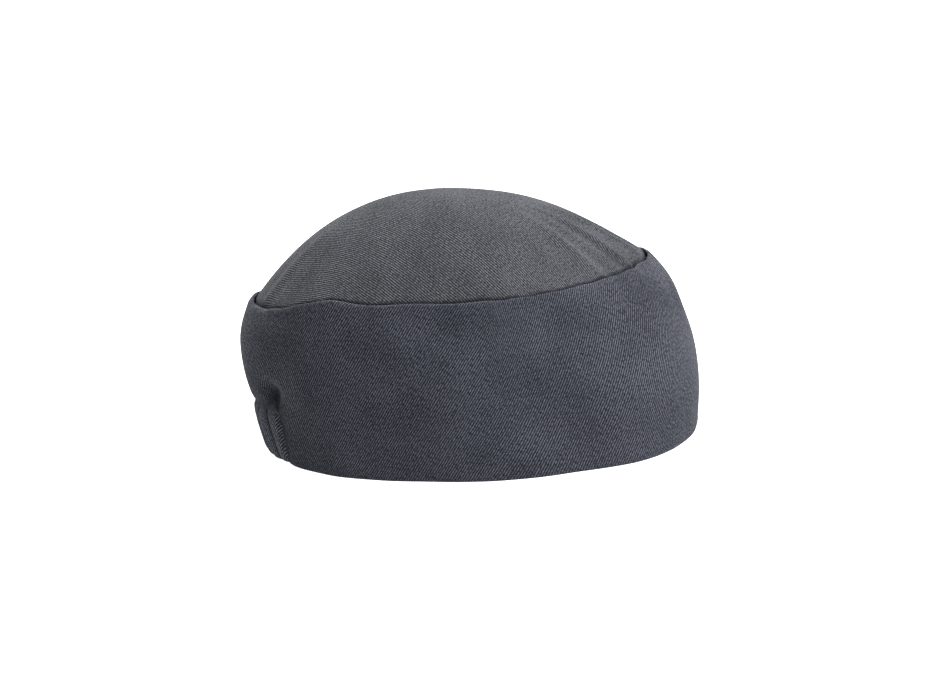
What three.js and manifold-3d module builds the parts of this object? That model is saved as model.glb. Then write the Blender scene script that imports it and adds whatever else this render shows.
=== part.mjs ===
// A chef's skull cap: a domed crown panel set into an upright band, with an elasticated casing
// gathered into the back of the hem. Millimetres, +X to the front, +Z up, the hem on z = 0.
// Every layer is first turned as a round ring or dome of radius BLANK_RADIUS, and is then
// stretched to the oval of the head by one rule, so that the layers stay nested.
import * as THREE from "three";
import { mergeVertices } from "three/addons/utils/BufferGeometryUtils.js";
import Module from "manifold-3d";

// Outlines seen from above. A power of 2 is an ellipse, less is more pointed.
const HEM = { front: 105, back: 100, half: 75.8, frontPower: 2.2, backPower: 2.1 };
const BAND_TOP = { front: 86.8, back: 98.7, half: 66, frontPower: 1.8, backPower: 2.1 };
const WIDEST_X = 15.4; // where both outlines are widest
const BAND_HEIGHT = 76;
const FRONT_BULGE = 9.5; // how far the wall stands out where it is fullest
const BACK_BULGE = 7.4;
const BACK_BULGE_RISE = 1.65; // 1 is fullest half-way up, more is fullest nearer to the top
const TOP_SLOPE = 0.03; // the top of the band rises this much per millimetre forwards
const SEAM_WAVES = [ // where the crown seam rises or dips: its place along X, width and height
  { at: -90, width: 15, height: -2.6 },
  { at: -54, width: 16, height: 3.6 },
  { at: -20, width: 9, height: 1 },
  { at: 40, width: 40, height: -1.1 },
  { at: 92, width: 11, height: 2.6 },
];
const CROWN_RISE = 39.5; // from the crown seam to the peak
const CROWN_PEAK_X = -13;
const CROWN_POWER = 2.1; // 2 is a parabola, more is flatter on top

// Cloths, tapes and threads.
const TWILL = 0.6;
const INTERLINING = 0.4;
const FACING = 0.5;
const BINDING = 0.3;
const THREAD = 0.4;
const LAYER_GAP = 0.4;

// Seams and edges.
const SEAM_ALLOWANCE = 9;
const BINDING_WIDTH = 6;
const STITCH_HEIGHT = 2; // the hem's edge stitch above the floor
const CASING_HALF_LENGTH = 38;
const CASING_HEIGHT = 28.5;
const CASING_PUFF = 2.4; // how far the casing rounds out at mid-height
const GATHERS = 11; // ridges along the casing
const GATHER_DEPTH = 1.2;
const ELASTIC_WIDTH = 22;
const ELASTIC_THICKNESS = 1;
const ELASTIC_END_CLEARANCE = 1.5;
const TACK_WIDTH = 1.4;

// Fineness of the surfaces.
const BLANK_RADIUS = 80;
const SLICES = 48;
const GATHERED_SLICES = 324;
const WALL_ROWS = 6;
const CASING_ROWS = 4;
const DOME_ROWS = 9;
const FOLD_STEPS = 4;
const THREAD_SIDES = 5;
const FAR = 400; // beyond every piece

const wasm = await Module();
wasm.setup();

// How deep each layer of the band lies under the band's outer face.
const interliningDepth = TWILL + LAYER_GAP;
const facingDepth = interliningDepth + INTERLINING + LAYER_GAP;
const outerBindingDepth = facingDepth + FACING + LAYER_GAP;
const allowanceDepth = outerBindingDepth + BINDING + LAYER_GAP;
const crownDepth = allowanceDepth + TWILL + LAYER_GAP;
const innerBindingDepth = crownDepth + TWILL + LAYER_GAP;
const foldRadius = (allowanceDepth + TWILL) / 2;
const foldHeight = BAND_HEIGHT - foldRadius;

// Between the outer faces of the casing's two leaves, with room for the elastic between gathers.
const casingDepth = ELASTIC_THICKNESS + 2 * (TWILL + GATHER_DEPTH + LAYER_GAP);

// --- The oval of the head ---

function ovalPoint(outline, angle) {
  const c = Math.cos(angle);
  const s = Math.sin(angle);
  const reach = c > 0 ? outline.front - WIDEST_X : outline.back + WIDEST_X;
  const power = 2 / (c > 0 ? outline.frontPower : outline.backPower);
  return new THREE.Vector2(
    WIDEST_X + reach * Math.sign(c) * Math.abs(c) ** power,
    outline.half * Math.sign(s) * Math.abs(s) ** power,
  );
}

function seamWave(x) {
  const rise = ({ at, width, height }) => height * Math.exp(-(((x - at) / width) ** 2));
  return SEAM_WAVES.reduce((total, wave) => total + rise(wave), 0);
}

// Takes a point of a round blank to its place on the cap.
function stretchToHead(point) {
  const angle = Math.atan2(point.y, point.x);
  const share = Math.hypot(point.x, point.y) / BLANK_RADIUS;
  const level = THREE.MathUtils.clamp(point.z / BAND_HEIGHT, 0, 1);
  const rim = ovalPoint(HEM, angle).lerp(ovalPoint(BAND_TOP, angle), level);
  const c = Math.cos(angle);
  const rise = c > 0 ? 1 : BACK_BULGE_RISE;
  const bulge = c * c * (c > 0 ? FRONT_BULGE : BACK_BULGE) * Math.sin(Math.PI * level ** rise);
  rim.x += bulge * c;
  rim.y += bulge * Math.sin(angle);
  const x = CROWN_PEAK_X + (rim.x - CROWN_PEAK_X) * share;
  const lift = TOP_SLOPE * x * level + seamWave(rim.x) * level ** 3 * share ** 4;
  return new THREE.Vector3(x, rim.y * share, point.z + lift);
}

function stretched(geometry, rule = stretchToHead) {
  const position = geometry.attributes.position;
  const point = new THREE.Vector3();
  for (let i = 0; i < position.count; i += 1) {
    point.copy(rule(point.fromBufferAttribute(position, i)));
    position.setXYZ(i, point.x, point.y, point.z);
  }
  return geometry;
}

// --- Turning, cutting and joining ---

// Leaves only positions, with one vertex where several meet.
function joined(geometry) {
  geometry.deleteAttribute("normal");
  geometry.deleteAttribute("uv");
  return mergeVertices(geometry, 1e-4);
}

// Turns a profile of [depth under the outer face, height] points about the Z axis.
function turned(profile, slices = SLICES) {
  const points = profile.map(([depth, height]) => new THREE.Vector2(BLANK_RADIUS - depth, height));
  return joined(new THREE.LatheGeometry(points, slices)).rotateX(Math.PI / 2);
}

function closed(profile) {
  return [...profile, profile[0]];
}

function solid(geometry) {
  return new wasm.Manifold(
    new wasm.Mesh({
      numProp: 3,
      vertProperties: geometry.attributes.position.array,
      triVerts: new Uint32Array(geometry.index.array),
    }),
  );
}

function geometryOf(manifold) {
  const { vertProperties, triVerts } = manifold.getMesh();
  return new THREE.BufferGeometry()
    .setAttribute("position", new THREE.BufferAttribute(vertProperties, 3))
    .setIndex(new THREE.BufferAttribute(triVerts, 1));
}

// A block behind the cap's middle, as wide as the casing less a clearance at each end.
function backBlock(endClearance, low, high) {
  const width = 2 * (CASING_HALF_LENGTH - endClearance);
  const block = new THREE.BoxGeometry(FAR, width, high - low);
  return solid(joined(block).translate(-FAR / 2, 0, (low + high) / 2));
}

// The window in the back of the hem that the casing is set into.
function withoutWindow(geometry) {
  return geometryOf(solid(geometry).subtract(backBlock(0, -FAR, CASING_HEIGHT)));
}

function piece(name, geometry, color, roughness) {
  const mesh = new THREE.Mesh(geometry, new THREE.MeshStandardMaterial({ color, roughness }));
  mesh.name = name;
  return mesh;
}

// --- Profiles ---

// Points up the wall at one depth, at heights that every layer shares where it reaches them.
function wall(depth, low, high) {
  const rows = Array.from({ length: WALL_ROWS + 1 }, (_, i) => (BAND_HEIGHT * i) / WALL_ROWS);
  const between = rows.filter((row) => row > low + 1 && row < high - 1);
  return [low, ...between, high].map((height) => [depth, height]);
}

// A half-circle over the top of the band, from the outer side to the inner.
function fold(radius) {
  return Array.from({ length: FOLD_STEPS + 1 }, (_, i) => {
    const turn = (Math.PI * i) / FOLD_STEPS;
    return [foldRadius - radius * Math.cos(turn), foldHeight + radius * Math.sin(turn)];
  });
}

function layerProfile(depth, thickness, low, high) {
  const outside = wall(depth, low, high);
  const inside = wall(depth + thickness, low, high).reverse();
  return closed([...outside, ...inside]);
}

// The dome from the peak to its rim, moved inwards by `inset` square to its surface.
function domeProfile(inset) {
  const rimRadius = BLANK_RADIUS - crownDepth;
  return Array.from({ length: DOME_ROWS + 1 }, (_, i) => {
    const share = i / DOME_ROWS;
    const slope = (CROWN_RISE * CROWN_POWER * share ** (CROWN_POWER - 1)) / rimRadius;
    const length = Math.hypot(1, slope);
    const radius = rimRadius * share - (inset * slope) / length;
    const height = foldHeight + CROWN_RISE * (1 - share ** CROWN_POWER) - inset / length;
    return [BLANK_RADIUS - radius, height];
  });
}

function threadProfile(depth, height) {
  return closed(
    Array.from({ length: THREAD_SIDES }, (_, i) => {
      const turn = (2 * Math.PI * i) / THREAD_SIDES;
      return [depth - (THREAD / 2) * Math.cos(turn), height + (THREAD / 2) * Math.sin(turn)];
    }),
  );
}

// --- The cap ---

// One round panel. Its edge turns down inside the band as the seam allowance.
function crownPanel() {
  const edge = BAND_HEIGHT - SEAM_ALLOWANCE;
  const rawEdge = [[crownDepth + TWILL, edge], [crownDepth, edge]];
  return stretched(turned([...domeProfile(TWILL), ...rawEdge, ...domeProfile(0).reverse()]));
}

// The outer cloth. It is folded over at the top and turned under at the hem.
function sideBand() {
  const hemTurn = facingDepth + FACING;
  const profile = closed([
    [hemTurn, 0],
    ...wall(0, 0, foldHeight),
    ...fold(foldRadius).slice(1),
    [allowanceDepth + TWILL, BAND_HEIGHT - SEAM_ALLOWANCE],
    [allowanceDepth, BAND_HEIGHT - SEAM_ALLOWANCE],
    ...fold(foldRadius - TWILL).reverse().slice(0, -1),
    ...wall(TWILL, TWILL, foldHeight).reverse(),
    [hemTurn, TWILL],
  ]);
  return withoutWindow(stretched(turned(profile)));
}

function bandInterlining() {
  const top = foldHeight - LAYER_GAP;
  const profile = layerProfile(interliningDepth, INTERLINING, TWILL + LAYER_GAP, top);
  return withoutWindow(stretched(turned(profile)));
}

function bandFacing() {
  const top = foldHeight - LAYER_GAP;
  const profile = layerProfile(facingDepth, FACING, TWILL + LAYER_GAP, top);
  return withoutWindow(stretched(turned(profile)));
}

// A tape folded round the raw edges of the crown's and the band's allowances.
function crownSeamBinding() {
  const edge = BAND_HEIGHT - SEAM_ALLOWANCE - LAYER_GAP;
  const top = edge + BINDING_WIDTH;
  const profile = closed([
    [outerBindingDepth, edge - BINDING],
    [outerBindingDepth, top],
    [outerBindingDepth + BINDING, top],
    [outerBindingDepth + BINDING, edge],
    [innerBindingDepth, edge],
    [innerBindingDepth, top],
    [innerBindingDepth + BINDING, top],
    [innerBindingDepth + BINDING, edge - BINDING],
  ]);
  return stretched(turned(profile));
}

function hemTopstitch() {
  const profile = threadProfile(-LAYER_GAP - THREAD / 2, STITCH_HEIGHT);
  return withoutWindow(stretched(turned(profile)));
}

// --- The elasticated back ---

// The gathers push the outer leaf in and out, and the inner leaf the other way.
function gather(point) {
  const angle = Math.atan2(point.y, -point.x);
  const radius = Math.hypot(point.x, point.y);
  const share = 1 - (2 * (BLANK_RADIUS - radius)) / casingDepth;
  const casingAngle = Math.asin(Math.min(1, CASING_HALF_LENGTH / HEM.half));
  const wave = Math.cos((Math.PI * GATHERS * angle) / casingAngle);
  const moved = (radius + share * GATHER_DEPTH * wave) / radius;
  return stretchToHead(new THREE.Vector3(point.x * moved, point.y * moved, point.z));
}

function casingPuff(height) {
  return CASING_PUFF * Math.sin((Math.PI * height) / CASING_HEIGHT);
}

// One strip of the outer cloth, folded lengthwise round the elastic, with the fold at the hem.
function backCasing() {
  const rise = (CASING_HEIGHT - LAYER_GAP - TWILL) / CASING_ROWS;
  const rows = Array.from({ length: CASING_ROWS + 1 }, (_, i) => TWILL + i * rise);
  const upAt = (depth) => rows.map((height) => [depth(height), height]);
  const downAt = (depth) => upAt(depth).reverse();
  const profile = closed([
    [TWILL, 0],
    ...upAt((height) => -casingPuff(height)),
    ...downAt((height) => TWILL - casingPuff(height)),
    ...upAt(() => casingDepth - TWILL),
    ...downAt(() => casingDepth),
    [casingDepth - TWILL, 0],
  ]);
  const ring = solid(stretched(turned(profile, GATHERED_SLICES), gather));
  return geometryOf(ring.intersect(backBlock(LAYER_GAP, -FAR, FAR)));
}

function elasticStrip() {
  const depth = (casingDepth - ELASTIC_THICKNESS) / 2;
  const low = (CASING_HEIGHT - ELASTIC_WIDTH) / 2;
  const profile = layerProfile(depth, ELASTIC_THICKNESS, low, low + ELASTIC_WIDTH);
  const ring = solid(stretched(turned(profile)));
  return geometryOf(ring.intersect(backBlock(ELASTIC_END_CLEARANCE, -FAR, FAR)));
}

function casingStitch(height) {
  const profile = threadProfile(-casingPuff(height) - LAYER_GAP - THREAD / 2, height);
  const ring = solid(stretched(turned(profile, GATHERED_SLICES), gather));
  return geometryOf(ring.intersect(backBlock(LAYER_GAP, -FAR, FAR)));
}

// A bar of stitches that holds an end of the elastic to the band, beside the window.
function elasticTack(side) {
  const middle = CASING_HALF_LENGTH + LAYER_GAP + TACK_WIDTH / 2;
  const height = CASING_HEIGHT - 2 * STITCH_HEIGHT - 4 * THREAD;
  const profile = layerProfile(
    -LAYER_GAP - THREAD,
    THREAD,
    STITCH_HEIGHT + 2 * THREAD,
    STITCH_HEIGHT + 2 * THREAD + height,
  );
  const bar = joined(new THREE.BoxGeometry(FAR, TACK_WIDTH, FAR));
  bar.translate(-FAR / 2, side * middle, 0);
  return geometryOf(solid(stretched(turned(profile))).intersect(solid(bar)));
}

const CHARCOAL = 0x4b4e56;
const DARK_THREAD = 0x26282d;
const LINING_GREY = 0x6d7077;
const ELASTIC_WHITE = 0xd8d8d4;

const cap = new THREE.Group();
cap.add(
  piece("crown_panel", crownPanel(), 0x5b5e64, 0.95),
  piece("side_band", sideBand(), CHARCOAL, 0.95),
  piece("band_interlining", bandInterlining(), ELASTIC_WHITE, 0.9),
  piece("band_facing", bandFacing(), CHARCOAL, 0.95),
  piece("crown_seam_binding", crownSeamBinding(), LINING_GREY, 0.9),
  piece("hem_topstitch", hemTopstitch(), DARK_THREAD, 0.7),
  piece("back_casing", backCasing(), CHARCOAL, 0.95),
  piece("elastic_strip", elasticStrip(), ELASTIC_WHITE, 0.85),
  piece("casing_upper_stitch", casingStitch(CASING_HEIGHT - STITCH_HEIGHT), DARK_THREAD, 0.7),
  piece("casing_lower_stitch", casingStitch(STITCH_HEIGHT), DARK_THREAD, 0.7),
  piece("elastic_tack_left", elasticTack(1), DARK_THREAD, 0.7),
  piece("elastic_tack_right", elasticTack(-1), DARK_THREAD, 0.7),
);

const box = new THREE.Box3().setFromObject(cap);
cap.position.x = -(box.min.x + box.max.x) / 2;

const part = new THREE.Group();
part.add(cap);
export default part;
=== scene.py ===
import math

import bmesh
import bpy
import numpy as np
from mathutils import Matrix, Vector, noise


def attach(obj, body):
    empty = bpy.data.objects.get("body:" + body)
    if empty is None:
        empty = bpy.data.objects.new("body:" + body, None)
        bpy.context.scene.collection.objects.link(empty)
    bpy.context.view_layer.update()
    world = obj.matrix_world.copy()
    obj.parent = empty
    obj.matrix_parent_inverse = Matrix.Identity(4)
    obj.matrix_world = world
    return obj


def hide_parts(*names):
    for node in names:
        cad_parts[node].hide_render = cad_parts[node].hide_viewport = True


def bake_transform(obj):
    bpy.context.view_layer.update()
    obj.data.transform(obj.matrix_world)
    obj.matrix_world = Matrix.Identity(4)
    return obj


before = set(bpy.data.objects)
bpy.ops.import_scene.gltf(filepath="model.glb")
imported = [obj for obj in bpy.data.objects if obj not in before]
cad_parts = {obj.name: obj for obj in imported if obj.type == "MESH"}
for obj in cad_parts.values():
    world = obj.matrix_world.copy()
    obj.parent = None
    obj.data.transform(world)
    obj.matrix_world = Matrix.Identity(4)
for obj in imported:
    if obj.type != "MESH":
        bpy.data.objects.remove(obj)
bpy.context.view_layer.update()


# --- Studio ---
# A softly glowing white table that runs out of sight, a white room that lights the cap more
# from its front than from its back, and the camera, which looks down a little on the cap's
# right-hand side and leans over slightly.

LENS_MM = 51.09
CAMERA_DISTANCE = 0.6350
CAMERA_ELEVATION = math.radians(14.62)
CAMERA_TURN = math.radians(4.93)
CAMERA_LEAN = math.radians(4.76)
AIM = Vector((0.0031, 0.0, 0.038))

camera = bpy.data.objects.new("camera", bpy.data.cameras.new("camera"))
camera.data.lens = LENS_MM
camera.data.clip_end = 50
bpy.context.collection.objects.link(camera)
level_right = Vector((math.cos(CAMERA_TURN), math.sin(CAMERA_TURN), 0))
towards_camera = Vector(
    (
        math.sin(CAMERA_TURN) * math.cos(CAMERA_ELEVATION),
        -math.cos(CAMERA_TURN) * math.cos(CAMERA_ELEVATION),
        math.sin(CAMERA_ELEVATION),
    )
)
level_up = towards_camera.cross(level_right)
camera_right = math.cos(CAMERA_LEAN) * level_right - math.sin(CAMERA_LEAN) * level_up
camera_up = math.sin(CAMERA_LEAN) * level_right + math.cos(CAMERA_LEAN) * level_up
camera.matrix_world = Matrix.Translation(AIM + towards_camera * CAMERA_DISTANCE) @ Matrix(
    (camera_right, camera_up, towards_camera)
).transposed().to_4x4()
bpy.context.scene.camera = camera
bpy.context.scene.view_settings.view_transform = "Standard"

TABLE_GREY = 0.3
TABLE_GLOW = 1.1

bm = bmesh.new()
bmesh.ops.create_grid(bm, x_segments=1, y_segments=1, size=12)
table_mesh = bpy.data.meshes.new("table")
bm.to_mesh(table_mesh)
bm.free()
table = bpy.data.objects.new("table", table_mesh)
bpy.context.collection.objects.link(table)
paper = bpy.data.materials.new("white_paper")
paper.use_nodes = True
paper_shader = paper.node_tree.nodes["Principled BSDF"].inputs
paper_shader["Base Color"].default_value = (TABLE_GREY, TABLE_GREY, TABLE_GREY, 1)
paper_shader["Emission Color"].default_value = (1, 1, 1, 1)
paper_shader["Emission Strength"].default_value = TABLE_GLOW
paper_shader["Roughness"].default_value = 1.0
paper_shader["Specular IOR Level"].default_value = 0.0
table_mesh.materials.append(paper)


def softbox(name, place, size, power):
    """A square lamp that faces the middle of the cap's hem."""
    lamp = bpy.data.lights.new(name, "AREA")
    lamp.size = size
    lamp.energy = power
    holder = bpy.data.objects.new(name, lamp)
    holder.matrix_world = Matrix.Translation(place) @ (-Vector(place)).to_track_quat(
        "-Z", "Y"
    ).to_matrix().to_4x4()
    bpy.context.collection.objects.link(holder)


softbox("key", (1.5, -0.7, 1.4), 1.2, 138)
softbox("top", (-0.5, 1.0, 1.9), 1.4, 100)

ROOM_AT_BACK = 0.70
ROOM_AT_FRONT = 1.30
ROOM_SEEN = 1.06

room = bpy.data.worlds.new("room")
room.use_nodes = True
room_nodes, room_links = room.node_tree.nodes, room.node_tree.links
room_nodes["Background"].inputs["Color"].default_value = (1, 1, 1, 1)
room_place = room_nodes.new("ShaderNodeSeparateXYZ")
from_back_to_front = room_nodes.new("ShaderNodeMapRange")
from_back_to_front.inputs["From Min"].default_value = -1.0
from_back_to_front.inputs["To Min"].default_value = ROOM_AT_BACK
from_back_to_front.inputs["To Max"].default_value = ROOM_AT_FRONT
seen = room_nodes.new("ShaderNodeLightPath")
strength = room_nodes.new("ShaderNodeMix")
strength.inputs["B"].default_value = ROOM_SEEN
room_coordinates = room_nodes.new("ShaderNodeTexCoord").outputs["Generated"]
room_links.new(room_coordinates, room_place.inputs[0])
room_links.new(room_place.outputs["X"], from_back_to_front.inputs["Value"])
room_links.new(seen.outputs["Is Camera Ray"], strength.inputs["Factor"])
room_links.new(from_back_to_front.outputs["Result"], strength.inputs["A"])
room_links.new(strength.outputs["Result"], room_nodes["Background"].inputs["Strength"])
bpy.context.scene.world = room


# --- Side band, outer cloth ---
# One strip of charcoal twill, joined in a ring at the centre back. It is turned under at the
# hem, folded over and down inside at the crown seam, and has a window for the elastic casing.

HEM = dict(front=0.1049, back=0.0993, half=0.0758, front_power=2.35, back_power=2.1)
BAND_TOP = dict(front=0.0876, back=0.0997, half=0.066, front_power=1.8, back_power=2.1)
WIDEST_X = 0.0153
BAND_HEIGHT = 0.076
FRONT_BULGE = 0.0095
BACK_BULGE = 0.0062
BACK_BULGE_RISE = 1.65
TOP_SLOPE = 0.03
HEM_FOLD = 0.0008
HEM_TURN_UP = 0.006
SEAM_ALLOWANCE = 0.009
TWILL_THICKNESS = 0.0005
CASING_HALF_WAY = 0.0445
CASING_HEIGHT = 0.0285
CASING_SAG = 0.0014
BAND_COLUMNS = 240
RIB_PITCH = 0.00098
SHEEN = 0.07
BAND_RIB_ANGLE = math.radians(55)


def smooth(value, start, end):
    t = np.clip((value - start) / (end - start), 0, 1)
    return t * t * (3 - 2 * t)


def cloud(x, y, z, size):
    """Soft noise from -1 to 1, with lumps of a size in metres."""
    points = zip(np.ravel(x) / size, np.ravel(y) / size, np.ravel(z) / size)
    return np.array([noise.noise(Vector(p)) for p in points]).reshape(np.shape(x))


def oval(outline, angle):
    """Points of an outline seen from above; angle 0 is the front, and -90 degrees the right."""
    c, s = np.cos(angle), np.sin(angle)
    reach = np.where(c > 0, outline["front"] - WIDEST_X, outline["back"] + WIDEST_X)
    power = 2 / np.where(c > 0, outline["front_power"], outline["back_power"])
    x = WIDEST_X + reach * np.sign(c) * np.abs(c) ** power
    y = outline["half"] * np.sign(s) * np.abs(s) ** power
    return np.stack([x, y], -1)


def wall_line(angle, level):
    """The band's outer face seen from above, at a level from 0 at the hem to 1 at the top."""
    c = np.cos(angle)
    rise = np.where(c > 0, 1, BACK_BULGE_RISE)
    bulge = c * c * np.where(c > 0, FRONT_BULGE, BACK_BULGE) * np.sin(math.pi * level**rise)
    push = np.stack([bulge * c, bulge * np.sin(angle)], -1)
    level = np.asarray(level)[..., None]
    return oval(HEM, angle) * (1 - level) + oval(BAND_TOP, angle) * level + push


# How far round the band an angle is, from the centre back by way of the right-hand side.
ring_angles = np.linspace(-math.pi, math.pi, 4001)
ring_steps = np.diff(wall_line(ring_angles, np.full(4001, 0.3)), axis=0)
ring_way = np.concatenate([[0], np.cumsum(np.linalg.norm(ring_steps, axis=1))])
BAND_LENGTH = float(ring_way[-1])


def angle_at(way):
    return np.interp(way, ring_way, ring_angles)


def from_back(way):
    """Distance from the centre back, along the band, negative on the right-hand side."""
    return np.where(way < BAND_LENGTH / 2, -way, BAND_LENGTH - way)


def over_casing(way, margin=0.006):
    back = np.abs(from_back(way))
    return 1 - smooth(back, CASING_HALF_WAY - margin, CASING_HALF_WAY + margin)


PUCKER_PERIOD = 0.025  # of the waves in the band above the casing
PUCKER_FIRST_RIDGE = 0.0185
HOLLOW_BACK = 0.0425  # where the band is pinched in most, over each end of the casing
HOLLOW_UP = 0.007  # above the casing
HOLLOW_DEPTH = 0.0062
LARGE_DENTS = 0.0026
SMALL_DENTS = 0.0009
GROOVE_DEPTH = 0.0013


def handling(way, angle, height):
    """How far the band has been pushed in by wear and by its seams, at a height."""
    x, y = wall_line(angle, height / BAND_HEIGHT).T
    calm = 1 - 0.75 * smooth(height, 0.055, 0.074)
    dents = LARGE_DENTS * cloud(x, y, height, 0.05) + SMALL_DENTS * cloud(x, y, height, 0.02)
    puckers = 0.0006 * cloud(x, y, 0 * x, 0.006) * np.exp((height - BAND_HEIGHT) / 0.009)
    puckers *= 0.4 + 2.6 * smooth(x, 0.045, 0.065)
    gap = height - CASING_HEIGHT
    pinched = np.exp(-np.abs(gap) / np.where(gap > 0, 0.008, 0.0045)) * over_casing(way)
    wave = np.cos(2 * math.pi * (np.abs(from_back(way)) - PUCKER_FIRST_RIDGE) / PUCKER_PERIOD)
    pinch = pinched * (0.0017 - 0.0013 * wave * smooth(gap, -0.002, 0.003))
    back = np.abs(from_back(way))
    hollow = np.exp(-(((back - HOLLOW_BACK) / 0.007) ** 2) - ((gap - HOLLOW_UP) / 0.0058) ** 2)
    pinch = pinch + HOLLOW_DEPTH * hollow * smooth(gap, -0.003, 0.003)
    side = back - CASING_HALF_WAY
    groove = GROOVE_DEPTH * np.exp(-np.abs(side) / 0.0035) * (1 - smooth(gap, -0.004, 0.006))
    return calm * dents + puckers + pinch + groove


SEAM_WAVES = [  # where along the cap, how wide, how high
    (-0.090, 0.015, -0.0022),
    (-0.054, 0.016, 0.0036),
    (-0.020, 0.009, 0.0010),
    (0.040, 0.040, -0.0011),
    (0.092, 0.011, 0.0010),
]


def seam_wave(angle):
    """The crown seam isn't level: it rises and dips as the soft top has settled."""
    x = oval(BAND_TOP, angle)[..., 0]
    settled = sum(high * np.exp(-(((x - at) / wide) ** 2)) for at, wide, high in SEAM_WAVES)
    return settled + 0.0002 * np.sin(31 * angle)


def on_wall(way, depth, height):
    """A point at a depth under the band's outer face, square to it, at a height."""
    angle = angle_at(way)
    level = np.clip(height / BAND_HEIGHT, 0, 1)
    step = 0.02
    along = wall_line(angle + step, level) - wall_line(angle - step, level)
    along /= np.linalg.norm(along, axis=-1, keepdims=True)
    rim = wall_line(angle, level)
    depth = depth + handling(way, angle, np.clip(height, 0, BAND_HEIGHT))
    x = rim[..., 0] - depth * along[..., 1]
    y = rim[..., 1] + depth * along[..., 0]
    sag = CASING_SAG * over_casing(way, 0.02) * np.exp(-np.abs(height - CASING_HEIGHT) / 0.012)
    sag = sag * smooth(height, 0, 0.01)
    top = seam_wave(angle) * level**3
    return np.stack([x, y, height - sag + top + TOP_SLOPE * x * level], -1)


def cloth_mesh(columns, rows, place, uv_of, painted_shade_of=None):
    """A grid of cloth. The rules take arrays of column and row shares, from 0 to 1."""
    bm = bmesh.new()
    bmesh.ops.create_grid(bm, x_segments=columns, y_segments=rows, size=0.5)
    shares = np.array([v.co for v in bm.verts])[:, :2] + 0.5
    flat = uv_of(shares[:, 0], shares[:, 1])
    layer = bm.loops.layers.uv.new("weave")
    for face in bm.faces:
        for loop in face.loops:
            loop[layer].uv = flat[loop.vert.index]
    for vert, point in zip(bm.verts, place(shares[:, 0], shares[:, 1])):
        vert.co = point
    # An optional layer of painted shade per vertex, from 0 to 1, which darkens the twill's colour.
    if painted_shade_of:
        painted_shade_layer = bm.verts.layers.float.new("painted_shade")
        for vert, amount in zip(bm.verts, painted_shade_of(shares[:, 0], shares[:, 1])):
            vert[painted_shade_layer] = amount
    return bm


def cut_away(bm, unwanted):
    """Deletes the faces whose middle on the flat cloth is unwanted(way, up)."""
    layer = bm.loops.layers.uv["weave"]

    def middle(face):
        return sum((loop[layer].uv for loop in face.loops), Vector((0, 0))) / len(face.loops)

    faces = [face for face in bm.faces if unwanted(*middle(face))]
    bmesh.ops.delete(bm, geom=faces, context="FACES")


def finish_cloth(bm, name, material, thickness, levels=1):
    bmesh.ops.remove_doubles(bm, verts=bm.verts[:], dist=1e-6)
    mesh = bpy.data.meshes.new(name)
    bm.to_mesh(mesh)
    bm.free()
    mesh.shade_smooth()
    mesh.materials.append(material)
    piece = bpy.data.objects.new(name, mesh)
    bpy.context.collection.objects.link(piece)
    wall = piece.modifiers.new("thickness", "SOLIDIFY")
    wall.thickness = thickness
    wall.offset = -1
    if levels:
        rounding = piece.modifiers.new("rounding", "SUBSURF")
        rounding.levels = rounding.render_levels = levels
    return piece


class Finish:
    """A material with its shader, and short calls that add nodes to it."""

    def __init__(self, name, roughness, sheen=0.0):
        self.mat = bpy.data.materials.new(name)
        self.mat.use_nodes = True
        self.shader = self.mat.node_tree.nodes["Principled BSDF"]
        self.set(self.shader, "Roughness", roughness)
        self.set(self.shader, "Specular IOR Level", 0.08)
        if sheen:
            self.set(self.shader, "Sheen Weight", sheen)
            self.set(self.shader, "Sheen Roughness", 0.35)
            self.set(self.shader, "Sheen Tint", (0.86, 0.88, 0.92, 1))

    def set(self, node, socket, value):
        if isinstance(value, bpy.types.NodeSocket):
            self.mat.node_tree.links.new(value, node.inputs[socket])
        else:
            node.inputs[socket].default_value = value

    def add(self, kind, inputs, output=0, **settings):
        node = self.mat.node_tree.nodes.new("ShaderNode" + kind)
        for key, value in settings.items():
            setattr(node, key, value)
        for socket, value in inputs.items():
            self.set(node, socket, value)
        return node.outputs[output]

    def math(self, operation, a, b=0.0, c=0.0):
        return self.add("Math", {0: a, 1: b, 2: c}, operation=operation)

    def noise(self, vector, scale, detail=2.0):
        return self.add("TexNoise", {"Vector": vector, "Scale": scale, "Detail": detail})

    def scaled(self, vector, scale):
        return self.add("Mapping", {"Vector": vector, "Scale": scale})

    def coloured(self, tone, dark, light, low=0.0, high=1.0):
        colour = self.add("ValToRGB", {0: tone})
        ramp = colour.node.color_ramp
        for stop, place, shade in zip(ramp.elements, (low, high), (dark, light)):
            stop.position = place
            stop.color = (*shade, 1)
        self.set(self.shader, "Base Color", colour)

    def raised(self, height, depth, strength=0.6):
        bump = self.add("Bump", {"Height": height, "Distance": depth, "Strength": strength})
        self.set(self.shader, "Normal", bump)


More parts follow.
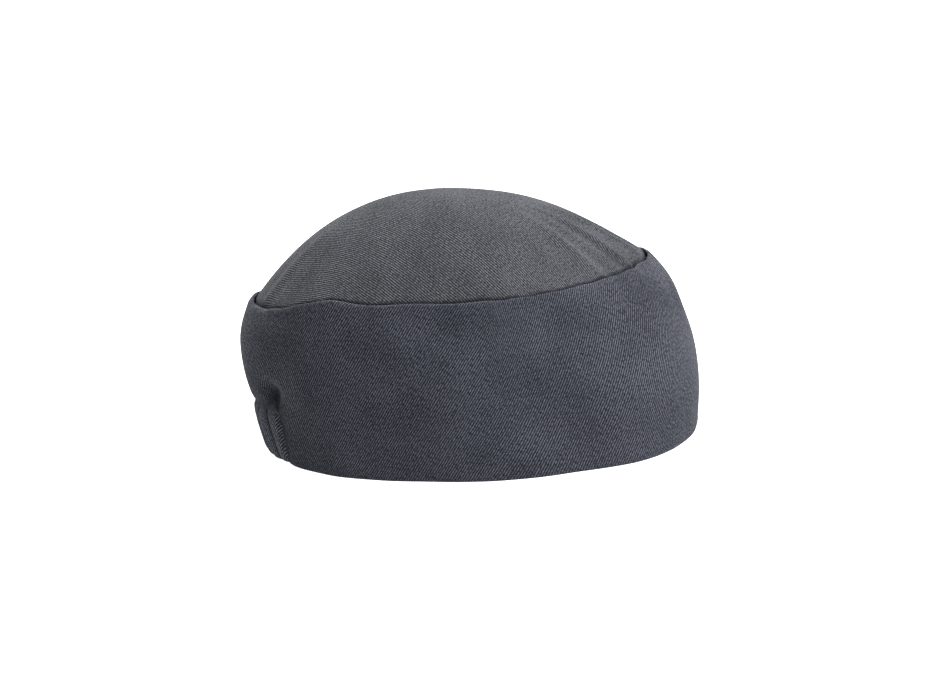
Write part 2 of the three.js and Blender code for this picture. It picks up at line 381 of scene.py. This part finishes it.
def twill(name, dark, light, rib_angle):
    """Two-tone twill: light yarn broken into flecks, in ribs along rib_angle on the cloth, darkened by
    the mesh's layer of painted shade.
    """
    cloth = Finish(name, roughness=0.92, sheen=SHEEN)
    weave = cloth.add("UVMap", {}, uv_map="weave")
    turned = cloth.add(
        "VectorRotate",
        {"Vector": weave, "Angle": math.pi / 2 - rib_angle},
        rotation_type="Z_AXIS",
    )
    wobble = cloth.math("MULTIPLY", cloth.noise(weave, 90), 4)
    across = cloth.add("SeparateXYZ", {0: turned})
    turns = cloth.math("MULTIPLY_ADD", across, 2 * math.pi / RIB_PITCH, wobble)
    rib = cloth.math("MULTIPLY_ADD", cloth.math("SINE", turns), 0.5, 0.5)
    fleck = cloth.noise(cloth.scaled(turned, (1500, 850, 1)), 1, 2)
    fleck = cloth.add("MapRange", {"Value": fleck, "From Min": 0.36, "From Max": 0.66})
    yarn = cloth.math("POWER", rib, 1.6)
    tone = cloth.math("MULTIPLY", yarn, cloth.math("MULTIPLY_ADD", fleck, 0.75, 0.25))
    tone = cloth.math("MULTIPLY_ADD", fleck, 0.12, tone)
    worn = cloth.math("MULTIPLY_ADD", cloth.noise(weave, 40, 3), 1.3, 0.35)
    tone = cloth.math("MULTIPLY", tone, worn)
    # Painted shade: the colour is darkened where the mesh's shade layer is set, in folds, creases and
    # hollows.
    painted_shade = cloth.add("Attribute", {}, output=2, attribute_name="painted_shade")
    lit = cloth.math("SUBTRACT", 1, painted_shade)
    cloth.set(cloth.shader, "Sheen Weight", cloth.math("MULTIPLY", tone, 2 * SHEEN))
    cloth.raised(tone, 0.00016, 0.7)
    cloth.coloured(cloth.math("MULTIPLY", tone, lit), dark, light, 0.0, 0.85)
    return cloth.mat


band_twill = twill("band_twill", (0.002, 0.0025, 0.005), (0.055, 0.058, 0.070), BAND_RIB_ANGLE)


def fold_radius(angle):
    """The roll of cloth along the crown seam is fullest at the back."""
    return 0.0011 + 0.0003 * smooth(-np.cos(angle), 0.7, 1)


def band_way(column):
    """Columns lie closer together towards the centre back, where the cloth is gathered."""
    return BAND_LENGTH * (column - 0.5 * np.sin(2 * math.pi * column) / (2 * math.pi))


fold_steps, hem_steps, wall_steps, tuck_steps = 5, 4, 34, 3
band_rows = tuck_steps + hem_steps + wall_steps + fold_steps + tuck_steps
band_marks = np.cumsum([0, tuck_steps, hem_steps, wall_steps, fold_steps, tuck_steps])
WALL_UP = BAND_HEIGHT - HEM_FOLD - float(fold_radius(0.0))
FLAT_UP = [HEM_TURN_UP, math.pi * HEM_FOLD, WALL_UP, math.pi * float(fold_radius(0.0)), SEAM_ALLOWANCE]


def band_shares(row):
    step = row * band_rows
    return [np.clip((step - a) / (b - a), 0, 1) for a, b in zip(band_marks, band_marks[1:])]


def band_place(column, row):
    """The strip's cross-section, from inside the hem, up the wall and down the allowance."""
    way = band_way(column)
    radius = fold_radius(angle_at(way))
    turned_up, hem, wall, fold, tucked = band_shares(row)
    depth = HEM_FOLD * (1 + np.cos(math.pi * hem)) + radius * (1 - np.cos(math.pi * fold))
    height = (
        HEM_FOLD * (1 - np.sin(math.pi * hem))
        + HEM_TURN_UP * (1 - turned_up)
        + (BAND_HEIGHT - radius - HEM_FOLD) * wall
        + radius * np.sin(math.pi * fold)
        - SEAM_ALLOWANCE * tucked
    )
    back_seam = np.exp(-((from_back(way) / 0.0007) ** 2)) * 0.0006
    return on_wall(way, depth + back_seam, height)


def band_uv(column, row):
    up = sum(share * length for share, length in zip(band_shares(row), FLAT_UP))
    return np.stack([band_way(column), up - HEM_TURN_UP], -1)


def band_painted_shade(column, row):
    """Painted shade where the cloth turns in at the seam, at the hem's edge, round the casing and in
    the hollow over each end of the casing.
    """
    way = band_way(column)
    _, hem, _, fold, tucked = band_shares(row)
    height = band_uv(column, row)[:, 1]
    gap = height - CASING_HEIGHT
    back = np.abs(from_back(way))
    hollow = np.exp(-(((back - HOLLOW_BACK) / 0.007) ** 2) - ((gap - 0.0055) / 0.006) ** 2)
    side = np.exp(-np.abs(back - CASING_HALF_WAY) / 0.004) * (1 - smooth(gap, -0.002, 0.008))
    painted_shade = 0.9 * smooth(fold, 0.55, 0.8) + 0.3 * (1 - hem) + 0.8 * hollow + 0.8 * side
    return np.clip(painted_shade + tucked, 0, 0.95)


def in_window(way, up, height=CASING_HEIGHT, half=CASING_HALF_WAY):
    return abs(from_back(way)) < half and up < height


bm = cloth_mesh(BAND_COLUMNS, band_rows, band_place, band_uv, band_painted_shade)
cut_away(bm, in_window)
band_cloth = finish_cloth(bm, "band_cloth", band_twill, TWILL_THICKNESS)


def stretches_with_elastic(piece):
    """Bakes the piece's placement into its mesh and leaves it where it is."""
    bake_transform(piece)


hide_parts("side_band")
stretches_with_elastic(band_cloth)


# --- Interlining and facing ---
# Behind the outer cloth of the band lie a white non-woven stiffener and a second strip of the
# twill, its facing, which is what touches the head. Both stop at the window for the casing.

INTERLINING_DEPTH = 0.00062
INTERLINING_THICKNESS = 0.0003
FACING_LOW_DEPTH = 0.0018
FACING_HIGH_DEPTH = 0.00105
FACING_THICKNESS = 0.0003
LAYER_LOW = 0.0014
LAYER_HIGH = BAND_HEIGHT - 0.0012
LAYER_ROWS = 26
WINDOW_MARGIN = 0.004


def layer_sheet(name, depth_at, thickness, material):
    """A strip behind the band, from the hem to the crown seam."""

    def height_at(row):
        return LAYER_LOW + row * (LAYER_HIGH - LAYER_LOW)

    def place(column, row):
        return on_wall(band_way(column), depth_at(height_at(row)), height_at(row))

    def flat(column, row):
        return np.stack([band_way(column), height_at(row)], -1)

    bm = cloth_mesh(BAND_COLUMNS, LAYER_ROWS, place, flat)
    half = CASING_HALF_WAY + WINDOW_MARGIN
    cut_away(bm, lambda way, up: in_window(way, up, CASING_HEIGHT + WINDOW_MARGIN, half))
    return finish_cloth(bm, name, material, thickness)


fleece = Finish("interlining", roughness=0.95)
fleece_flat = fleece.add("UVMap", {}, uv_map="weave")
fibres = fleece.noise(fleece.scaled(fleece_flat, (3200, 900, 1)), 1, 4)
fleece.coloured(fibres, (0.62, 0.62, 0.60), (0.84, 0.84, 0.82), 0.3, 0.7)
fleece.raised(fibres, 0.0001)
interlining = layer_sheet(
    "interlining_sheet",
    lambda height: INTERLINING_DEPTH + 0 * height,
    INTERLINING_THICKNESS,
    fleece.mat,
)
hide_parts("band_interlining")
stretches_with_elastic(interlining)

facing_twill = twill("facing_twill", (0.002, 0.0025, 0.005), (0.050, 0.053, 0.064), -BAND_RIB_ANGLE)
facing = layer_sheet(
    "facing_cloth",
    lambda height: FACING_LOW_DEPTH
    + (FACING_HIGH_DEPTH - FACING_LOW_DEPTH) * smooth(height, 0.012, 0.06),
    FACING_THICKNESS,
    facing_twill,
)
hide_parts("band_facing")
stretches_with_elastic(facing)


# --- Crown panel ---
# One oval of the same twill, cut with its ribs at a slant, and sewn to the top of the band. Its
# edge is tucked down inside, and a few soft folds run into the seam, most of them at the front.

CROWN_RISE = 0.0395
CROWN_POWER = 2.1
CROWN_BACK_FULLNESS = 0.12
CROWN_PEAK_X = -0.0131
CROWN_CELLS = 110
CROWN_RIB_ANGLE = math.radians(-40)
CROWN_SEAM_DROP = 0.0002
CROWN_GAP = 0.0003
CROWN_TUCK_SHARE = 0.93
CROWN_FOLDS = [  # direction from the middle, width, height
    (math.radians(-44), 0.0022, 0.0018),
    (math.radians(-27), 0.0019, 0.0024),
    (math.radians(-13), 0.0017, 0.0024),
    (math.radians(-4), 0.0016, 0.0016),
    (math.radians(31), 0.0026, 0.0015),
    (math.radians(203), 0.0032, 0.0012),
]
crown_twill = twill("crown_twill", (0.004, 0.0045, 0.006), (0.065, 0.067, 0.075), CROWN_RIB_ANGLE)


def crown_place(column, row):
    u, v = 2 * column - 1, 2 * row - 1
    x, y = u * np.sqrt(1 - v * v / 2), v * np.sqrt(1 - u * u / 2)
    share = np.hypot(x, y)
    angle = np.arctan2(y, x)
    way = np.interp(angle, ring_angles, ring_way)
    rim_depth = 2 * fold_radius(angle) + CROWN_GAP
    rim = on_wall(way, rim_depth, np.full(len(angle), BAND_HEIGHT))
    peak = np.array([CROWN_PEAK_X, 0])
    inner = np.clip(share / CROWN_TUCK_SHARE, 0, 1)
    plan = peak + (rim[:, :2] - peak) * inner[:, None]
    power = CROWN_POWER + CROWN_BACK_FULLNESS * smooth(-np.cos(angle), 0.4, 1)
    rise = CROWN_RISE * (1 - inner**power)
    for direction, width, height in CROWN_FOLDS:
        off = angle - direction
        off = np.arctan2(np.sin(off), np.cos(off)) * 0.08 * share
        fade = smooth(inner, 0.5, 0.85) * (1 - 0.8 * smooth(inner, 0.96, 1))
        rise = rise + height * fade * np.exp(-((off / width) ** 2))
    soft = (1 - smooth(inner, 0.85, 1)) * 0.0012 * cloud(plan[:, 0], plan[:, 1], 0 * x + 0.3, 0.05)
    tuck = np.clip((share - CROWN_TUCK_SHARE) / (1 - CROWN_TUCK_SHARE), 0, 1) * SEAM_ALLOWANCE
    wave = seam_wave(angle) * inner**4
    height = BAND_HEIGHT - CROWN_SEAM_DROP + rise + soft + wave - tuck + TOP_SLOPE * plan[:, 0]
    return np.column_stack([plan, height])


def crown_uv(column, row):
    """Flattened out from the peak, where the dome is steeper the cloth is longer."""
    plan = crown_place(column, row)[:, :2]
    share = np.hypot(plan[:, 0] / 0.092, plan[:, 1] / 0.064)
    return plan * (1 + 0.18 * share**2)[:, None]


# Painted shade along the crown's edge, where it is tucked down into the seam.
def crown_painted_shade(column, row):
    u, v = 2 * column - 1, 2 * row - 1
    share = np.hypot(u * np.sqrt(1 - v * v / 2), v * np.sqrt(1 - u * u / 2))
    return 0.9 * smooth(share, CROWN_TUCK_SHARE - 0.014, CROWN_TUCK_SHARE)


bm = cloth_mesh(CROWN_CELLS, CROWN_CELLS, crown_place, crown_uv, crown_painted_shade)
crown_cloth = finish_cloth(bm, "crown_cloth", crown_twill, TWILL_THICKNESS)
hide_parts("crown_panel")
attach(crown_cloth, "cap")


# --- Seam binding ---
# A grey cotton tape folded over the raw edges of the crown's and the band's allowances, inside
# the cap.

TAPE_THICKNESS = 0.00025
TAPE_WIDTH = 0.006
TAPE_COLUMNS = 220
TAPE_ROWS = 12


def tape_place(column, row):
    way = BAND_LENGTH * column
    centre = 2 * fold_radius(angle_at(way)) + CROWN_GAP / 2
    half = TWILL_THICKNESS + CROWN_GAP / 2 + 0.0003
    low = BAND_HEIGHT - SEAM_ALLOWANCE - 0.0006
    turn = math.pi * np.clip((row - 0.4) / 0.2, 0, 1)
    rise = np.clip(1 - row / 0.4, 0, 1) + np.clip((row - 0.6) / 0.4, 0, 1)
    depth = centre + half * np.cos(turn)
    height = low + TAPE_WIDTH * rise - half * np.sin(turn)
    return on_wall(way, depth, height)


def tape_uv(column, row):
    return np.stack([BAND_LENGTH * column, 2.2 * TAPE_WIDTH * row], -1)


tape = Finish("binding_tape", roughness=0.9, sheen=0.15)
tape_flat = tape.add("UVMap", {}, uv_map="weave")
tape_parts = tape.add("SeparateXYZ", {0: tape_flat})
tape_ribs = tape.math("SINE", tape.math("MULTIPLY", tape_parts, 2 * math.pi / 0.0007))
tape_tone = tape.math("MULTIPLY_ADD", tape_ribs, 0.25, tape.noise(tape_flat, 1400, 3))
tape.coloured(tape_tone, (0.05, 0.052, 0.058), (0.19, 0.195, 0.21), 0.2, 0.8)
tape.raised(tape_tone, 0.0001)
binding = finish_cloth(
    cloth_mesh(TAPE_COLUMNS, TAPE_ROWS, tape_place, tape_uv), "seam_binding", tape.mat, TAPE_THICKNESS
)
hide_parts("crown_seam_binding")
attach(binding, "cap")


# --- Elastic casing ---
# A strip of the band's twill, folded lengthwise with the fold at the hem, and gathered on the
# elastic inside it. Its top and ends are sewn in behind the band's edge.

GATHERS = 11
GATHER_RELIEF = 0.0021
INNER_GATHER_RELIEF = 0.0009
CASING_PUFF = 0.00143
CASING_INSET = 0.0003
CASING_TUCK = 0.0012
CASING_UNDERLAP = 0.003
CASING_BACK_DEPTH = 0.0048
CASING_COLUMNS = 16 * GATHERS
CASING_ROWS = 44
GATHER_FULLNESS = 1.2


def casing_way(column):
    """Runs past the window's sides, to lie under the band there."""
    back = (1 - 2 * column) * (CASING_HALF_WAY + 0.6 * CASING_UNDERLAP)
    return np.where(back < 0, -back, BAND_LENGTH - back), back


def ridges(back, height):
    """Rounded ridges with sharp valleys, from 0 to 1, uneven in width and height."""
    uneven = back + 0.0011 * np.sin(back / 0.0105) + 0.0004 * np.sin(back / 0.0041 + 1)
    uneven = uneven + 0.0008 * np.sin(height / 0.009 + back / 0.007)
    turn = math.pi * GATHERS * uneven / (2 * CASING_HALF_WAY)
    return np.sqrt(np.cos(turn) ** 2 + 0.02) * (0.85 + 0.15 * np.sin(back / 0.006 + 0.8))


def casing_outer_depth(back, height):
    """How deep the outer leaf lies: under the band's edge at the top, and full below it."""
    rise = np.clip(height / CASING_HEIGHT, 0, 1)
    full = np.sin(math.pi * np.clip(rise, 0, 0.97) ** 1.15) ** 0.7
    at_end = smooth(np.abs(back), CASING_HALF_WAY - 0.0015, CASING_HALF_WAY + 0.0005)
    standing = 0.35 + 0.65 * smooth(rise, 0.02, 0.2) * (1 - smooth(rise, 0.86, 1.02))
    relief = GATHER_RELIEF * ridges(back, height) * standing * (1 - at_end)
    puff = CASING_PUFF * full * (1 - at_end)
    return CASING_INSET + CASING_TUCK * (0.6 + 0.4 * at_end) - puff - relief


def casing_place(column, row):
    """Rows run down the inner leaf, round the fold at the hem, and up the outer leaf."""
    way, back = casing_way(column)
    inner = np.clip(1 - row / 0.42, 0, 1)
    turn = np.clip((row - 0.42) / 0.08, 0, 1)
    outer = np.clip((row - 0.5) / 0.5, 0, 1)
    height = HEM_FOLD + (CASING_HEIGHT + CASING_UNDERLAP) * np.maximum(inner, outer)
    height = height - HEM_FOLD * np.sin(math.pi * turn)
    front_depth = casing_outer_depth(back, height)
    inner_relief = INNER_GATHER_RELIEF * ridges(back, height) * np.sin(math.pi * inner)
    back_depth = CASING_BACK_DEPTH - inner_relief
    mix = (1 - np.cos(math.pi * turn)) / 2
    depth = back_depth * (1 - mix) + front_depth * mix
    return on_wall(way, depth, height)


def casing_uv(column, row):
    _, back = casing_way(column)
    width = 2 * (CASING_HEIGHT + CASING_UNDERLAP) + 0.004
    return np.stack([-GATHER_FULLNESS * back, width * row], -1)


# Painted shade in the valleys between the gathers and along the top, under the band's edge.
def casing_painted_shade(column, row):
    _, back = casing_way(column)
    height = (CASING_HEIGHT + CASING_UNDERLAP) * np.clip((row - 0.5) / 0.5, 0, 1)
    under_edge = smooth(height, CASING_HEIGHT - 0.003, CASING_HEIGHT)
    valley = 1 - smooth(ridges(back, height), 0.15, 0.6)
    return np.clip(0.75 * valley + 0.6 * under_edge, 0, 0.95)


casing_twill = twill("casing_twill", (0.003, 0.0035, 0.006), (0.085, 0.09, 0.105), math.radians(55))
casing = finish_cloth(
    cloth_mesh(CASING_COLUMNS, CASING_ROWS, casing_place, casing_uv, casing_painted_shade),
    "casing_cloth",
    casing_twill,
    TWILL_THICKNESS,
)
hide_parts("back_casing")
stretches_with_elastic(casing)


# --- Elastic ---
# A flat strip of white woven elastic, ribbed along its length, inside the casing. Its ends are
# held by the tacks.

ELASTIC_THICKNESS = 0.001
ELASTIC_DEPTH = 0.0022
ELASTIC_LOW = 0.0028
ELASTIC_HIGH = CASING_HEIGHT - 0.0037
ELASTIC_END = CASING_HALF_WAY - 0.0012


def elastic_place(column, row):
    back = (1 - 2 * column) * ELASTIC_END
    way = np.where(back < 0, -back, BAND_LENGTH - back)
    return on_wall(way, ELASTIC_DEPTH + 0 * row, ELASTIC_LOW + row * (ELASTIC_HIGH - ELASTIC_LOW))


def elastic_uv(column, row):
    return np.stack([column * 2 * ELASTIC_END, row * (ELASTIC_HIGH - ELASTIC_LOW)], -1)


rubber = Finish("elastic", roughness=0.6, sheen=0.2)
rubber_flat = rubber.add("UVMap", {}, uv_map="weave")
rubber_up = rubber.add("SeparateXYZ", {0: rubber_flat}, output=1)
cords = rubber.math("SINE", rubber.math("MULTIPLY", rubber_up, 2 * math.pi / 0.0015))
rubber_tone = rubber.math("MULTIPLY_ADD", cords, 0.3, rubber.noise(rubber_flat, 1800, 2))
rubber.coloured(rubber_tone, (0.5, 0.5, 0.48), (0.82, 0.82, 0.8), 0.2, 0.8)
rubber.raised(rubber_tone, 0.0003)
elastic = finish_cloth(
    cloth_mesh(90, 14, elastic_place, elastic_uv), "elastic_band", rubber.mat, ELASTIC_THICKNESS
)
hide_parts("elastic_strip")
stretches_with_elastic(elastic)


# --- Stitching ---
# Dark polyester thread: a line of stitches just above the hem, one along the casing's foot and
# one along its top, and a bar of close stitches across each end of the elastic.

THREAD_RADIUS = 0.00021
STITCH_LENGTH = 0.0021
STITCH_PITCH = 0.0026
STITCH_HEIGHT = 0.002
THREAD_SIDES = 6
THREAD_RINGS = 4

thread = Finish("thread", roughness=0.6)
thread_place = thread.add("TexCoord", {}, output=3)
strands = thread.noise(thread.scaled(thread_place, (2600, 2600, 5200)), 1, 2)
thread.coloured(strands, (0.006, 0.007, 0.010), (0.035, 0.038, 0.046), 0.35, 0.65)
thread.raised(strands, 0.00008)


def stitched(name, starts, ends, node):
    """One short thread from each start to its end, both on the face of the cloth."""
    bm = bmesh.new()
    for start, end in zip(starts, ends):
        run = Vector(end) - Vector(start)
        lie = run.to_track_quat("Z", "Y").to_matrix().to_4x4()
        size = Matrix.Diagonal((THREAD_RADIUS, THREAD_RADIUS, run.length / 2, 1))
        bmesh.ops.create_uvsphere(
            bm,
            u_segments=THREAD_SIDES,
            v_segments=THREAD_RINGS,
            radius=1,
            matrix=Matrix.Translation(Vector(start) + run / 2) @ lie @ size,
        )
    mesh = bpy.data.meshes.new(name)
    bm.to_mesh(mesh)
    bm.free()
    mesh.shade_smooth()
    mesh.materials.append(thread.mat)
    piece = bpy.data.objects.new(name, mesh)
    bpy.context.collection.objects.link(piece)
    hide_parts(node)
    stretches_with_elastic(piece)


def stitch_line(name, node, first, last, height, depth_at):
    """A line of stitches along the band, from one distance from the centre back to another."""
    starts = np.arange(first, last - STITCH_LENGTH, STITCH_PITCH)

    def points(back):
        way = np.where(back < 0, -back, BAND_LENGTH - back)
        return on_wall(way, depth_at(back), np.full(len(back), height))

    stitched(name, points(starts), points(starts + STITCH_LENGTH), node)


hem_starts = np.arange(CASING_HALF_WAY + 0.003, BAND_LENGTH - CASING_HALF_WAY - 0.003, STITCH_PITCH)
hem_height = np.full(len(hem_starts), STITCH_HEIGHT)
stitched(
    "hem_stitches",
    on_wall(hem_starts, 0 * hem_height, hem_height),
    on_wall(hem_starts + STITCH_LENGTH, 0 * hem_height, hem_height),
    "hem_topstitch",
)
casing_end = CASING_HALF_WAY - 0.002
CASING_TOP_STITCH = 0.0035  # below the casing's top
for name, node, height in (
    ("casing_top_stitches", "casing_upper_stitch", CASING_HEIGHT - CASING_TOP_STITCH),
    ("casing_foot_stitches", "casing_lower_stitch", STITCH_HEIGHT),
):
    stitch_line(
        name, node, -casing_end, casing_end, height,
        lambda back, height=height: casing_outer_depth(back, np.full(len(back), height)),
    )

TACK_PITCH = 0.0007
TACK_WIDTH = 0.0014
tack_heights = np.arange(STITCH_HEIGHT + 0.0015, CASING_HEIGHT - 0.003, TACK_PITCH)
for name, node, way in (
    ("tack_right", "elastic_tack_right", CASING_HALF_WAY - TACK_WIDTH),
    ("tack_left", "elastic_tack_left", BAND_LENGTH - CASING_HALF_WAY),
):
    near = np.full(len(tack_heights), way)
    low = np.full(len(tack_heights), CASING_TUCK)
    stitched(
        name,
        on_wall(near, low, tack_heights),
        on_wall(near + TACK_WIDTH, low, tack_heights + TACK_PITCH / 2),
        node,
    )
